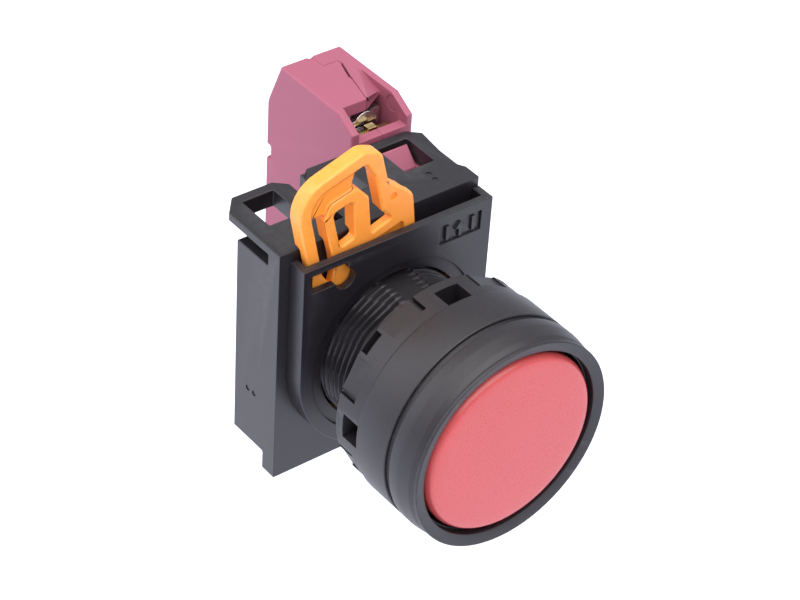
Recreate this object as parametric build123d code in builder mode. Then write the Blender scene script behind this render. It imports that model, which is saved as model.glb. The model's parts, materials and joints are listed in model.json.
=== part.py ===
"""Panel-mount push button of the 22 mm class: flush round operator, lock ring, quick-lock
mounting adaptor and one normally closed contact block.

Frame, in millimetres: +X to the right, +Y back through the panel, +Z up. The origin is where
the button's axis crosses the front face of the panel, so the operator's head has negative Y.
"""
from build123d import *
import math
import os

# Operator: radii about the Y axis, depths along it
BEZEL_R = 15.5
BEZEL_FRONT = -11.85
BEZEL_SPLIT = -6.65
LIP_R = 14.75
LIP_BORE_R = 13.57
RIM_MID = (15.3, -10.5)
RIM_END = -8.2
SPIGOT_R = 14.25
SPIGOT_FRONT = -10.1
CUP_BORE_R = 13.4
CUP_FLOOR = -1.6
GROOVE_R = 15.0
GROOVE_REAR = -5.85
GASKET_R = (12.0, 13.6)
GASKET_DEPTH = 0.8
PLAY = 0.05                      # gap between fixed pieces that nest
RUN = 0.07                       # radial gap of sliding and turning fits

THREAD_R = 11.0
THREAD_ROOT_R = 10.4
THREAD_PITCH = 1.0
THREAD_START = 1.0
THREAD_TURNS = 18
SLEEVE_END = 19.4
SLEEVE_BORE_R = 9.4
KEYWAY = (5.3, 10.3)             # width and height of its floor above the axis
SPRING_LEDGE = (12.0, 13.5)
STEM_R = 7.0
STEM_BORE_R = 5.4
STEM_DISC_R = 10.8
STEM_DISC = (-7.4, -6.2)
STEM_REAR = 17.9
STEM_END_WALL = 1.4
PEG_R = 2.5
FOOT_R = 9.1
FOOT = (18.0, 20.0)
FOOT_CHAMFER = 0.3
PEG_REAR = FOOT[1] - 0.4

CAP_R = 12.95
CAP_FACE = -12.0
CROWN_MID = (7.0, CAP_FACE + 0.06)
CROWN_END = (12.2, -11.75)
RIM_ARC = (12.72, -11.5)         # middle of the rounding from the crown to the side
CAP_SIDE = -10.9                 # where that rounding ends
CAP_BACK = -9.4
CAP_SKIRT = -6.0
CAP_SKIRT_R = 11.5
CAP_HUB_R = 4.2
SEAL_GROOVE = (-7.9, -6.9)
SEAL_GROOVE_R = 12.45
SEAL_LENGTH = 0.8
SEAL_ROUNDING = 0.3

RING_R = 15.2
RING = (0.15, 4.75)
RING_WINDOW = (3.7, 3.0)         # width and depth, open to the bezel
RING_WINDOW_REAR = 3.15
RING_STEP = 1.75                 # where the flats and notches begin
RING_FLAT_AT = 27.25             # degrees either side of a window
RING_FLAT = (5.0, 0.45)          # width, and depth below the rim
RING_NOTCH_AT = 16.6
RING_NOTCH = (0.5, 1.2)
RING_POCKET = (3.2, 1.3)
RING_POCKET_Y = (3.35, 4.45)
RING_CHAMFER = 0.25

# Mounting adaptor
ADAPTOR_X = (-16.6, 15.0)
ADAPTOR_Y = (15.46, 24.55)
ADAPTOR_Z = (-17.2, 16.2)
FRAME_X = 15.0
FRAME_Y = (12.49, 13.6)
FRAME_TOP = 17.66
FRAME_WALL = 1.1
FRAME_HOLE_R = 11.35
FRAME_RECESS_R = 13.0
FRAME_RECESS = 0.5
FRAME_WINDOW_X = (-13.6, -8.0)
FRAME_WINDOW_Z = (13.9, 16.6)
WINDOW_NOOK = (-8.5, 14.2)       # round corner of the frame's window
WINDOW_NOOK_R = 1.5
LABEL_X = (6.5, 13.2)
LABEL_Z = (13.2, 16.2)
LABEL_DEPTH = 0.35
LABEL_HEAD = (1.8, 1.1)          # width and height of the arrow's head
LABEL_BAR = (0.6, 2.2)           # width of all strokes, height of the side bars
LABEL_SHAFT = 1.2
LABEL_SPACING = 2.1
SEAT_R = 11.25
SEAT_END = 19.6
PASS_R = 9.7
WING_Z = (17.9, 19.08)
WING_ROOT_END = 17.95
WING_REAR = 29.1
LEFT_WING = ((ADAPTOR_X[0], ADAPTOR_Y[0]), (ADAPTOR_X[0], 26.5), (-14.4, WING_REAR), (-8.2, WING_REAR),
             (-6.5, 27.6), (-6.5, ADAPTOR_Y[0]))
RIGHT_WING = ((-5.0, ADAPTOR_Y[0]), (-5.0, 26.5), (-2.8, WING_REAR), (13.2, WING_REAR),
              (ADAPTOR_X[1], 27.5), (14.4, 23.0), (14.4, 19.2), (ADAPTOR_X[1], 18.25),
              (ADAPTOR_X[1], ADAPTOR_Y[0]))
COLLAR_FLOOR = 16.5
COLLAR_DROP = 0.1                # the collars end this far below the wing's top
TOP_MARKS = ((9.84, 19.49), (9.78, 18.1))
SIDE_MARKS = ((20.2, -6.0), (21.6, -6.0))
MARK_R = 0.42
MARK_DEPTH = 0.12
WINDOW_Y = (21.6, 27.55)
WINDOW_WIDTH = 4.8
BAY_X = (-11.4, -0.8, 10.0)
HOOK_Y = (18.1, 26.2)
HOOK_ROOM_Z = -14.4
HOOK_Z = (-16.3, -15.0)
HOOK_TIP_Z = (-17.2, -14.3)
HOOK_WIDTH = 6.0

# Locking lever
LEVER_Y = (13.8, 15.2)
LEVER_HANDLE_REAR = 16.1
LEVER_RING_R = (11.3, 13.5)
LEVER_SWEEP = 30.0               # degrees from locked to released
WEB_STEP = 0.45
LEVER_WEB = ((-13.6, 23.9), (-10.9, 23.9), (-10.3, 25.1), (-7.0, 26.0), (-6.2, 29.2), (-12.6, 27.4))
PANEL_STEP = 0.5
DIMPLE = (0.55, 0.2)             # radius and depth of the mark on the handle's shoulder
DIMPLE_AT = (-0.5, 23.0)
HANDLE_CLEAR_Z = 19.45           # the thick part of the handle stays above this

# Contact block
BLOCK_X = (4.8, 14.9)
SEAM_X = 9.85
BLOCK_NECK = 24.65
BLOCK_HEAD = 29.4
BLOCK_REAR = 48.45
BLOCK_TOP = 22.96
NECK_TOP = 16.2
NECK_FLOOR = -13.9
NECK_STEP = 26.65                # the neck is cut back below as far as this for the snap hook
HEAD_SLOPE = (32.85, 21.0)       # depth where it meets the top, height where it meets the head
TAIL_SLOPE = ((45.7, BLOCK_TOP), (48.25, 16.8), (BLOCK_REAR, 16.0))
WALL = 1.2
CONTACT_CHAMBER_Z = 11.0
CLAMP_CHAMBER_Y = (30.95, 41.0)
CLAMP_CHAMBER_Z = (12.0, 21.1)
FRONT_WALL_TOP = 19.6
MOUTH_REAR = 33.3                # rear edge of the wire opening in the top
RAMP_START = (10.0, MOUTH_REAR, BLOCK_TOP)
RAMP_APEX = (BLOCK_X[1] - WALL, 40.5, BLOCK_TOP)
RAMP_FOOT = (BLOCK_X[1] - WALL, 35.34, 21.6)
TAB_END = (12.4, 42.9)           # corner of the left half's tab that laps over the right half
SEAM_NOTCH = (9.7, 45.7)         # small V in the top's rear edge, where the halves meet
SEAM_NOTCH_SIZE = 0.8
SEAM_SLOT = (0.35, 3.6, 1.0)     # width, length and depth of the slot beside the tab
SEAM_SLOT_START = 0.8            # from the tab's corner
STRIP_SLOT_X = (7.8, 11.9)
DRIVER_HOLE_R = 2.6
REAR_GROOVE_Z = (7.0, 9.1)
REAR_GROOVE_DEPTH = 0.9
EJECTOR_MARK = (32.6, 21.3)      # depth and height of the round mark inside the right wall
EJECTOR_MARK_R = 1.2
EJECTOR_MARK_DEPTH = 0.12
LATCH_X = (7.9, 12.1)
LATCH = ((24.65, 16.25), (26.9, 18.55), (27.2, 18.55), (27.2, 16.25))

TERMINAL_Y = (31.8, 33.0)
TERMINAL_X = (6.3, 13.4)
TERMINAL_TOP = 18.35
TERMINAL_TONGUE = ((9.4, 10.8), 19.2)  # width limits and top of the small tongue on its edge
TERMINAL_SHOULDER = 12.5         # height where the strip narrows towards the contact
TERMINAL_END = 5.3               # height of the strip's inner end, just past the contact
STRIP_X = (8.0, 11.7)
TERMINAL_HOLE_R = 1.55
SCREW_Z = 16.4
SCREW_R = 1.5
SCREW_Y = (31.2, 35.6, 38.0)     # tip, under the head, top of the head
SCREW_HEAD_R = 2.4
SCREW_RECESS = (0.35, 1.7, 0.9)  # half width, half length and depth of the cross
CLAMP_X = (6.5, 13.2)
CLAMP_Y = (34.6, 35.5)
CLAMP_HALF = 3.6
CLAMP_HOLE_R = 1.7
CLAMP_LIP_Y = (33.4, 34.6)
CLAMP_LIP_X = (8.3, 11.9)        # the lip's arch; to its left the lip is a flat shoulder
CLAMP_LIP_Z = (19.1, 19.8, 20.8)  # foot, shoulders and crown of the lip

PLUNGER_X = 7.4
PLUNGER_R = 1.2
PLUNGER_TIP = 20.3
PLUNGER_BODY = ((6.4, 13.3), (26.3, 41.0), (-3.0, 3.0))
PLUNGER_BODY_Y = PLUNGER_BODY[1]
PLUNGER_WINDOW_X = (7.7, 12.0)
PLUNGER_WINDOW_Y = (32.6, 40.0)  # lets the bridge through, with room ahead of it
PLUNGER_BOSS = (1.4, 1.6)        # radius and length of the boss that centres the spring
PLUNGER_CHAMFER = 0.3
BRIDGE_Y = (34.4, 35.2)
BRIDGE_CENTRE = ((8.0, 11.7), 1.9)   # width limits and half height of the part the spring rests on
BRIDGE_ARM = ((8.25, 11.45), 8.4)
CONTACT_Z = 6.8
CONTACT_R = 1.3
CONTACT_FACE = 33.8
CONTACT_GAP = 0.06

# Springs: wire radius, coil radius, turns
RETURN_SPRING = (0.4, (STEM_R + SLEEVE_BORE_R) / 2, 9)
BRIDGE_SPRING = (0.18, 1.3, 5)
PLUNGER_SPRING = (0.22, 2.1, 4)


def facing(depth):
    """Plane at this depth, seen from the front: its x runs along X and its y along Z."""
    return Plane.XZ.offset(-depth)


def slab(x, y, z, mode=Mode.ADD):
    """Block between two limits along each axis."""
    centre = [(low + high) / 2 for low, high in (x, y, z)]
    size = [high - low for low, high in (x, y, z)]
    with Locations(tuple(centre)):
        Box(*size, mode=mode)


def drum(radius, depths, centre=(0, 0), mode=Mode.ADD):
    """Cylinder along Y between two depths, about the point (x, z)."""
    middle = (centre[0], sum(depths) / 2, centre[1])
    with Locations(Location(middle, (90, 0, 0))):
        Cylinder(radius, depths[1] - depths[0], mode=mode)


def around(angle, depth, radius):
    """Place at a radius from the button's axis; the angle runs from the top towards +X."""
    return Location((0, 0, 0), (0, angle, 0)) * Location((0, depth, radius))


def spring(shape, ends, centre=(0, 0)):
    """Helical spring along Y between two faces; shape is its wire radius, coil radius and turns."""
    wire, radius, turns = shape
    start = ends[0] + wire + PLAY
    span = ends[1] - wire - PLAY - start
    with BuildPart() as made:
        with BuildLine() as path:
            Helix(span / turns, span, radius, center=(centre[0], start, centre[1]), direction=(0, 1, 0))
        with BuildSketch(Plane(origin=path.line @ 0, z_dir=path.line % 0)):
            Circle(wire)
        sweep()
    return made


def upright(low, high, side):
    """Height limits above the axis, or mirrored below it when side is -1."""
    return tuple(sorted((side * low, side * high)))


def thread_points():
    """Crests and roots of the sleeve's thread, as (radius, depth)."""
    points = []
    for turn in range(THREAD_TURNS):
        start = THREAD_START + turn * THREAD_PITCH
        points += [
            (THREAD_ROOT_R, start),
            (THREAD_R, start + 0.3 * THREAD_PITCH),
            (THREAD_R, start + 0.5 * THREAD_PITCH),
            (THREAD_ROOT_R, start + 0.8 * THREAD_PITCH),
        ]
    return points


# ---------------------------------------------------------------- operator

with BuildPart() as bezel_ring:
    with BuildSketch(Plane.XY):
        with BuildLine():
            Line((LIP_BORE_R, BEZEL_FRONT), (LIP_R, BEZEL_FRONT))
            ThreePointArc((LIP_R, BEZEL_FRONT), RIM_MID, (BEZEL_R, RIM_END))
            Polyline(
                (BEZEL_R, RIM_END),
                (BEZEL_R, BEZEL_SPLIT),
                (SPIGOT_R + PLAY, BEZEL_SPLIT),
                (SPIGOT_R + PLAY, SPIGOT_FRONT - PLAY),
                (LIP_BORE_R, SPIGOT_FRONT - PLAY),
                (LIP_BORE_R, BEZEL_FRONT),
            )
        make_face()
    revolve(axis=Axis.Y)

with BuildPart() as operator_body:
    with BuildSketch(Plane.XY):
        with BuildLine():
            Polyline(
                (CUP_BORE_R, SPIGOT_FRONT),
                (SPIGOT_R, SPIGOT_FRONT),
                (SPIGOT_R, BEZEL_SPLIT),
                (GROOVE_R, BEZEL_SPLIT),
                (GROOVE_R, GROOVE_REAR),
                (BEZEL_R, GROOVE_REAR),
                (BEZEL_R, 0),
                (GASKET_R[1], 0),
                (GASKET_R[1], -GASKET_DEPTH),
                (GASKET_R[0], -GASKET_DEPTH),
                (GASKET_R[0], 0),
                (THREAD_ROOT_R, 0),
                *thread_points(),
                (THREAD_ROOT_R, SLEEVE_END),
                (SLEEVE_BORE_R, SLEEVE_END),
                (SLEEVE_BORE_R, SPRING_LEDGE[1]),
                (STEM_R + RUN, SPRING_LEDGE[1]),
                (STEM_R + RUN, SPRING_LEDGE[0]),
                (SLEEVE_BORE_R, SPRING_LEDGE[0]),
                (SLEEVE_BORE_R, CUP_FLOOR),
                (CUP_BORE_R, CUP_FLOOR),
                (CUP_BORE_R, SPIGOT_FRONT),
            )
        make_face()
    revolve(axis=Axis.Y)
    half_key = KEYWAY[0] / 2
    slab((-half_key, half_key), (0.5, SLEEVE_END + 1), (KEYWAY[1], BEZEL_R), Mode.SUBTRACT)

with BuildPart() as panel_gasket:
    drum(GASKET_R[1] - PLAY, (PLAY - GASKET_DEPTH, 0))
    drum(GASKET_R[0] + PLAY, (-1, 1), mode=Mode.SUBTRACT)

with BuildPart() as lock_ring:
    drum(RING_R, RING)
    chamfer(lock_ring.edges().filter_by(GeomType.CIRCLE).sort_by(Axis.Y)[-1], RING_CHAMFER)
    drum(THREAD_R + RUN, (-1, RING[1] + 1), mode=Mode.SUBTRACT)
    quarters = (0, 90, 180, 270)
    window_size = (RING_WINDOW[0], RING_WINDOW_REAR, 2 * RING_WINDOW[1])
    with Locations(*[around(a, RING_WINDOW_REAR / 2, RING_R) for a in quarters]):
        Box(*window_size, mode=Mode.SUBTRACT)
    step_middle = (RING_STEP + RING[1] + 1) / 2
    step_length = RING[1] + 1 - RING_STEP
    flats = [around(a + s * RING_FLAT_AT, step_middle, RING_R) for a in quarters for s in (-1, 1)]
    with Locations(*flats):
        Box(RING_FLAT[0], step_length, 2 * RING_FLAT[1], mode=Mode.SUBTRACT)
    notches = [around(a + s * RING_NOTCH_AT, step_middle, RING_R) for a in quarters for s in (-1, 1)]
    with Locations(*notches):
        Box(RING_NOTCH[0], step_length, 2 * RING_NOTCH[1], mode=Mode.SUBTRACT)
    pocket_length = RING_POCKET_Y[1] - RING_POCKET_Y[0]
    with Locations(*[around(a + 45, sum(RING_POCKET_Y) / 2, RING_R) for a in quarters]):
        Box(RING_POCKET[0], pocket_length, 2 * RING_POCKET[1], mode=Mode.SUBTRACT)

with BuildPart() as button_cap:
    with BuildSketch(Plane.XY):
        with BuildLine():
            ThreePointArc((0, CAP_FACE), CROWN_MID, CROWN_END)
            ThreePointArc(CROWN_END, RIM_ARC, (CAP_R, CAP_SIDE))
            Polyline(
                (CAP_R, CAP_SIDE),
                (CAP_R, SEAL_GROOVE[0]),
                (SEAL_GROOVE_R, SEAL_GROOVE[0]),
                (SEAL_GROOVE_R, SEAL_GROOVE[1]),
                (CAP_R, SEAL_GROOVE[1]),
                (CAP_R, CAP_SKIRT),
                (CAP_SKIRT_R, CAP_SKIRT),
                (CAP_SKIRT_R, CAP_BACK),
                (CAP_HUB_R, CAP_BACK),
                (CAP_HUB_R, STEM_DISC[0] - PLAY),
                (PEG_R + PLAY, STEM_DISC[0] - PLAY),
                (PEG_R + PLAY, CAP_BACK),
                (0, CAP_BACK),
                (0, CAP_FACE),
            )
        make_face()
    revolve(axis=Axis.Y)

with BuildPart() as cap_seal:
    with BuildSketch(Plane.XY):
        with Locations(((SEAL_GROOVE_R + CUP_BORE_R) / 2, sum(SEAL_GROOVE) / 2)):
            RectangleRounded(CUP_BORE_R - SEAL_GROOVE_R - 2 * PLAY, SEAL_LENGTH, SEAL_ROUNDING)
    revolve(axis=Axis.Y)

with BuildPart() as actuator_stem:
    drum(STEM_DISC_R, STEM_DISC)
    drum(STEM_R, (STEM_DISC[1], STEM_REAR))
    drum(STEM_BORE_R, (STEM_DISC[1], STEM_REAR - STEM_END_WALL), mode=Mode.SUBTRACT)
    drum(PEG_R, (CAP_BACK + PLAY, STEM_DISC[0]))
    drum(PEG_R, (STEM_REAR, PEG_REAR))

with BuildPart() as pusher_foot:
    drum(FOOT_R, FOOT)
    chamfer(pusher_foot.edges().filter_by(GeomType.CIRCLE), FOOT_CHAMFER)
    drum(PEG_R + PLAY, (FOOT[0] - 1, FOOT[1] + 1), mode=Mode.SUBTRACT)

return_spring = spring(RETURN_SPRING, (STEM_DISC[1], SPRING_LEDGE[0]))

# ---------------------------------------------------------------- mounting adaptor

with BuildPart() as adaptor_body:
    slab(ADAPTOR_X, ADAPTOR_Y, ADAPTOR_Z)
    slab(ADAPTOR_X, (HOOK_Y[0], ADAPTOR_Y[1]), (ADAPTOR_Z[0], HOOK_ROOM_Z), Mode.SUBTRACT)
    # The wings that hold the contact blocks, and the root that carries them
    slab(ADAPTOR_X, (ADAPTOR_Y[0], WING_ROOT_END), (ADAPTOR_Z[1] - 1, WING_Z[1]))
    for wing in (LEFT_WING, RIGHT_WING):
        with BuildSketch(Plane.XY.offset(WING_Z[0])):
            Polygon(*wing, align=None)
        extrude(amount=WING_Z[1] - WING_Z[0])
    for centre in BAY_X:
        half = WINDOW_WIDTH / 2
        collar = (centre - half - 1, centre + half + 1)
        slab(collar, (WINDOW_Y[0] - 1, WINDOW_Y[1] + 1), (COLLAR_FLOOR, WING_Z[1] - COLLAR_DROP))
        slab((centre - half, centre + half), WINDOW_Y, (COLLAR_FLOOR - 1, BLOCK_TOP), Mode.SUBTRACT)
    # Small round marks left by the mould's pins
    with Locations(*[(x, y, WING_Z[1]) for x, y in TOP_MARKS]):
        Cylinder(MARK_R, 2 * MARK_DEPTH, mode=Mode.SUBTRACT)
    with Locations(*[Location((ADAPTOR_X[0], y, z), (0, 90, 0)) for y, z in SIDE_MARKS]):
        Cylinder(MARK_R, 2 * MARK_DEPTH, mode=Mode.SUBTRACT)
    # Snap hooks under the contact blocks
    for centre in BAY_X:
        hook = (centre - HOOK_WIDTH / 2, centre + HOOK_WIDTH / 2)
        slab(hook, (HOOK_Y[0] - 0.5, HOOK_Y[1]), HOOK_Z)
        slab(hook, (HOOK_Y[1] - 1, HOOK_Y[1]), HOOK_TIP_Z)
    drum(SEAT_R, (ADAPTOR_Y[0] - 1, SEAT_END), mode=Mode.SUBTRACT)
    drum(PASS_R, (ADAPTOR_Y[0], ADAPTOR_Y[1] + 1), mode=Mode.SUBTRACT)

with BuildPart() as front_frame:
    # Flat top and straight sides, closed below by a half circle about the button's axis
    with BuildSketch(facing(FRAME_Y[0])):
        Circle(FRAME_X)
        with Locations((0, FRAME_TOP / 2)):
            Rectangle(2 * FRAME_X, FRAME_TOP)
    extrude(amount=FRAME_Y[0] - ADAPTOR_Y[0])
    with BuildSketch(facing(FRAME_Y[1])):
        Circle(FRAME_X - FRAME_WALL)
        with Locations((0, FRAME_TOP / 2 + 1)):
            Rectangle(2 * (FRAME_X - FRAME_WALL), FRAME_TOP + 2)
    extrude(amount=FRAME_Y[1] - ADAPTOR_Y[0] - 1, mode=Mode.SUBTRACT)
    drum(FRAME_RECESS_R, (FRAME_Y[0] - 1, FRAME_Y[0] + FRAME_RECESS), mode=Mode.SUBTRACT)
    drum(FRAME_HOLE_R, (FRAME_Y[0] - 1, FRAME_Y[1] + 1), mode=Mode.SUBTRACT)
    slab(FRAME_WINDOW_X, (FRAME_Y[0] - 1, FRAME_Y[1] + 1), FRAME_WINDOW_Z, Mode.SUBTRACT)
    drum(WINDOW_NOOK_R, (FRAME_Y[0] - 1, FRAME_Y[1] + 1), WINDOW_NOOK, Mode.SUBTRACT)
    # Sunk panel with a raised arrow and two bars that show which way is up
    slab(LABEL_X, (FRAME_Y[0] - 1, FRAME_Y[0] + LABEL_DEPTH), LABEL_Z, Mode.SUBTRACT)
    label_middle = (sum(LABEL_X) / 2, sum(LABEL_Z) / 2)
    with BuildSketch(facing(FRAME_Y[0] + LABEL_DEPTH)):
        with Locations(label_middle):
            half_head = LABEL_HEAD[0] / 2
            Polygon((-half_head, 0), (half_head, 0), (0, LABEL_HEAD[1]), align=None)
            Rectangle(LABEL_BAR[0], LABEL_SHAFT, align=(Align.CENTER, Align.MAX))
            with Locations((-LABEL_SPACING, 0), (LABEL_SPACING, 0)):
                Rectangle(*LABEL_BAR)
    extrude(amount=LABEL_DEPTH)

with BuildPart() as locking_lever:
    drum(LEVER_RING_R[1], LEVER_Y)
    # Arched handle, leaning to the left in its locked place
    with BuildSketch(facing(LEVER_Y[0])) as handle:
        with BuildLine():
            FilletPolyline(
                (-10.4, 5.0),
                (-12.4, 12.0),
                (-15.7, 27.8),
                (-5.2, 31.3),
                (-2.6, 30.3),
                (-1.3, 25.4),
                (2.8, 22.2),
                (4.2, 10.5),
                radius=(1, 1, 4.8, 2.2, 1.6, 0.6, 2.0, 0.5),
                close=True,
            )
        make_face()
        # Gap between the outer arch and the finger tongue inside it
        with BuildLine():
            FilletPolyline(
                (-11.0, 14.8),
                (-13.65, 26.9),
                (-5.0, 29.4),
                (-3.6, 27.2),
                (-2.1, 21.2),
                (-0.5, 19.6),
                (-3.6, 18.5),
                (-4.3, 24.3),
                (-6.3, 26.5),
                (-10.4, 25.4),
                (-11.2, 23.2),
                (-9.3, 15.0),
                (-9.7, 12.9),
                radius=(0.4, 3.2, 0.6, 0.5, 0.5, 0.3, 0.3, 1.0, 1.0, 1.2, 0.6, 0.4, 0.1),
                close=True,
            )
        make_face(mode=Mode.SUBTRACT)
        with BuildLine():
            FilletPolyline(
                (-9.8, 23.8), (-6.7, 24.65), (-6.3, 18.9), (-8.4, 18.1),
                radius=0.7,
                close=True,
            )
        make_face(mode=Mode.SUBTRACT)
    extrude(amount=LEVER_Y[0] - LEVER_Y[1])
    # Sunk web that joins the tongue to the arch, and a sunk panel under the cross bar
    with BuildSketch(facing(LEVER_Y[0] + WEB_STEP)):
        Polygon(*LEVER_WEB, align=None)
    extrude(amount=LEVER_Y[0] + WEB_STEP - LEVER_HANDLE_REAR)
    with BuildSketch(facing(LEVER_Y[0] + PANEL_STEP)):
        with BuildLine():
            FilletPolyline(
                (-3.6, 16.9), (1.3, 18.4), (1.9, 15.2), (-3.2, 15.2),
                radius=0.4,
                close=True,
            )
        make_face()
    extrude(amount=PANEL_STEP + 1, mode=Mode.SUBTRACT)
    # Above the adaptor the handle is thicker, where it clears the wings over its whole sweep
    with BuildSketch(facing(LEVER_Y[1])):
        add(handle.sketch_local)
        Rectangle(80, HANDLE_CLEAR_Z, align=(Align.CENTER, Align.MIN), mode=Mode.SUBTRACT)
        Rectangle(80, HANDLE_CLEAR_Z, LEVER_SWEEP, align=(Align.CENTER, Align.MIN), mode=Mode.SUBTRACT)
    extrude(amount=LEVER_Y[1] - LEVER_HANDLE_REAR)
    drum(LEVER_RING_R[0], (LEVER_Y[0] - 1, LEVER_Y[1] + 1), mode=Mode.SUBTRACT)
    drum(DIMPLE[0], (LEVER_Y[0] - 1, LEVER_Y[0] + DIMPLE[1]), DIMPLE_AT, Mode.SUBTRACT)

# ---------------------------------------------------------------- contact block

upper_profile = [
    (BLOCK_NECK, NECK_TOP),
    (BLOCK_HEAD, NECK_TOP),
    (BLOCK_HEAD, HEAD_SLOPE[1]),
    (HEAD_SLOPE[0], BLOCK_TOP),
    *TAIL_SLOPE,
]
block_profile = upper_profile + [(depth, -height) for depth, height in reversed(upper_profile)]
block_inside = (BLOCK_X[0] + WALL, BLOCK_X[1] - WALL)
mouth = (
    (block_inside[0], CLAMP_CHAMBER_Y[0]),
    (block_inside[1], CLAMP_CHAMBER_Y[0]),
    RAMP_FOOT[:2],
    RAMP_START[:2],
    (block_inside[0], MOUTH_REAR),
)
tab = ((SEAM_X, TAB_END[1]), TAB_END, RAMP_START[:2], (SEAM_X, MOUTH_REAR))
tab_side = (Vector(*RAMP_START[:2]) - Vector(*TAB_END)).normalized()
slot_reach = SEAM_SLOT_START + SEAM_SLOT[1] / 2
slot_middle = (TAB_END[0] + tab_side.X * slot_reach, TAB_END[1] + tab_side.Y * slot_reach)
slot_turn = math.degrees(math.atan2(-tab_side.X, tab_side.Y))


def hollow_block():
    """Cut the chambers that both halves of the contact block share."""
    below_neck = (NECK_FLOOR - BLOCK_TOP, NECK_FLOOR)
    slab(BLOCK_X, (BLOCK_NECK - 1, NECK_STEP), below_neck, Mode.SUBTRACT)
    chamber_y = (BLOCK_NECK + WALL, BLOCK_REAR - WALL)
    slab(block_inside, chamber_y, (-CONTACT_CHAMBER_Z, CONTACT_CHAMBER_Z), Mode.SUBTRACT)
    for side in (-1, 1):
        slab(block_inside, CLAMP_CHAMBER_Y, upright(*CLAMP_CHAMBER_Z, side), Mode.SUBTRACT)
        above_wall = upright(FRONT_WALL_TOP, BLOCK_TOP + 1, side)
        slab(block_inside, (BLOCK_HEAD - 1, CLAMP_CHAMBER_Y[0]), above_wall, Mode.SUBTRACT)
        with BuildSketch(Plane.XY.offset(side * FRONT_WALL_TOP)) as opening:
            Polygon(*mouth, align=None)
        height = side * (BLOCK_TOP + 1 - FRONT_WALL_TOP)
        extrude(opening.sketch, amount=height, mode=Mode.SUBTRACT)
        strip_slot = upright(CONTACT_CHAMBER_Z - 1, CLAMP_CHAMBER_Z[0] + 1, side)
        slot_y = (TERMINAL_Y[0] - PLAY, TERMINAL_Y[1] + PLAY)
        slab(STRIP_SLOT_X, slot_y, strip_slot, Mode.SUBTRACT)
        driver_hole = (CLAMP_CHAMBER_Y[1] - 1, BLOCK_REAR + 1)
        drum(DRIVER_HOLE_R, driver_hole, (SEAM_X, side * SCREW_Z), Mode.SUBTRACT)
        groove_y = (BLOCK_REAR - REAR_GROOVE_DEPTH, BLOCK_REAR + 1)
        slab(BLOCK_X, groove_y, upright(*REAR_GROOVE_Z, side), Mode.SUBTRACT)
        with Locations(Location((SEAM_NOTCH[0], SEAM_NOTCH[1], side * BLOCK_TOP), (0, 0, 45))):
            Box(SEAM_NOTCH_SIZE, SEAM_NOTCH_SIZE, SEAM_NOTCH_SIZE, mode=Mode.SUBTRACT)
        # Slot in the top along the tab's slanting side
        with Locations(Location((*slot_middle, side * BLOCK_TOP), (0, 0, slot_turn))):
            Box(SEAM_SLOT[0], SEAM_SLOT[1], 2 * SEAM_SLOT[2], mode=Mode.SUBTRACT)


def lap_tab(side, gap, mode):
    """Tab in the top of the left half, or with a gap the room for it in the right half."""
    under = CLAMP_CHAMBER_Z[1] - gap
    with BuildSketch(Plane.XY.offset(side * under)) as lap:
        Polygon(*tab, align=None)
        if gap:
            offset(amount=gap, kind=Kind.INTERSECTION)
    extrude(lap.sketch, amount=side * (BLOCK_TOP - under), mode=mode)


with BuildPart() as block_housing_left:
    with BuildSketch(Plane.YZ.offset(BLOCK_X[0])):
        Polygon(*block_profile, align=None)
    extrude(amount=SEAM_X - BLOCK_X[0])
    for side in (-1, 1):
        lap_tab(side, 0, Mode.ADD)
    hollow_block()
    # Sloped latch that snaps into the adaptor's window
    with BuildSketch(Plane.YZ.offset(LATCH_X[0])):
        Polygon(*LATCH, align=None)
    extrude(amount=LATCH_X[1] - LATCH_X[0])
    slab((LATCH_X[0], SEAM_X), (LATCH[0][0], LATCH[-1][0]), (NECK_TOP - 1, LATCH[0][1]))
    plunger_bore = (BLOCK_NECK - 1, BLOCK_NECK + WALL + 1)
    drum(PLUNGER_R + RUN, plunger_bore, (PLUNGER_X, 0), Mode.SUBTRACT)

with BuildPart() as wire_ramp:
    # Room above the slope that leads a wire down to the terminal
    slab((SEAM_X, block_inside[1]), (MOUTH_REAR - 1, RAMP_APEX[1]), (FRONT_WALL_TOP, BLOCK_TOP + 1))
    along = Vector(*RAMP_APEX) - Vector(*RAMP_START)
    down = Vector(*RAMP_FOOT) - Vector(*RAMP_START)
    split(bisect_by=Plane(RAMP_START, x_dir=along, z_dir=down.cross(along)), keep=Keep.TOP)

with BuildPart() as block_housing_right:
    with BuildSketch(Plane.YZ.offset(SEAM_X)):
        Polygon(*block_profile, align=None)
    extrude(amount=BLOCK_X[1] - SEAM_X)
    hollow_block()
    add(wire_ramp.part, mode=Mode.SUBTRACT)
    add(mirror(wire_ramp.part, about=Plane.XY), mode=Mode.SUBTRACT)
    for side in (-1, 1):
        lap_tab(side, PLAY, Mode.SUBTRACT)
        mark = (block_inside[1], EJECTOR_MARK[0], side * EJECTOR_MARK[1])
        with Locations(Location(mark, (0, 90, 0))):
            Cylinder(EJECTOR_MARK_R, 2 * EJECTOR_MARK_DEPTH, mode=Mode.SUBTRACT)

with BuildPart() as contact_plunger:
    drum(PLUNGER_R, (PLUNGER_TIP, PLUNGER_BODY_Y[0]), (PLUNGER_X, 0))
    chamfer(contact_plunger.edges().filter_by(GeomType.CIRCLE).sort_by(Axis.Y)[0], PLUNGER_CHAMFER)
    slab(*PLUNGER_BODY)
    slab(PLUNGER_WINDOW_X, PLUNGER_WINDOW_Y, (-4, 4), Mode.SUBTRACT)
    boss_y = (PLUNGER_BODY_Y[1], PLUNGER_BODY_Y[1] + PLUNGER_BOSS[1])
    drum(PLUNGER_BOSS[0], boss_y, (SEAM_X, 0))

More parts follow.
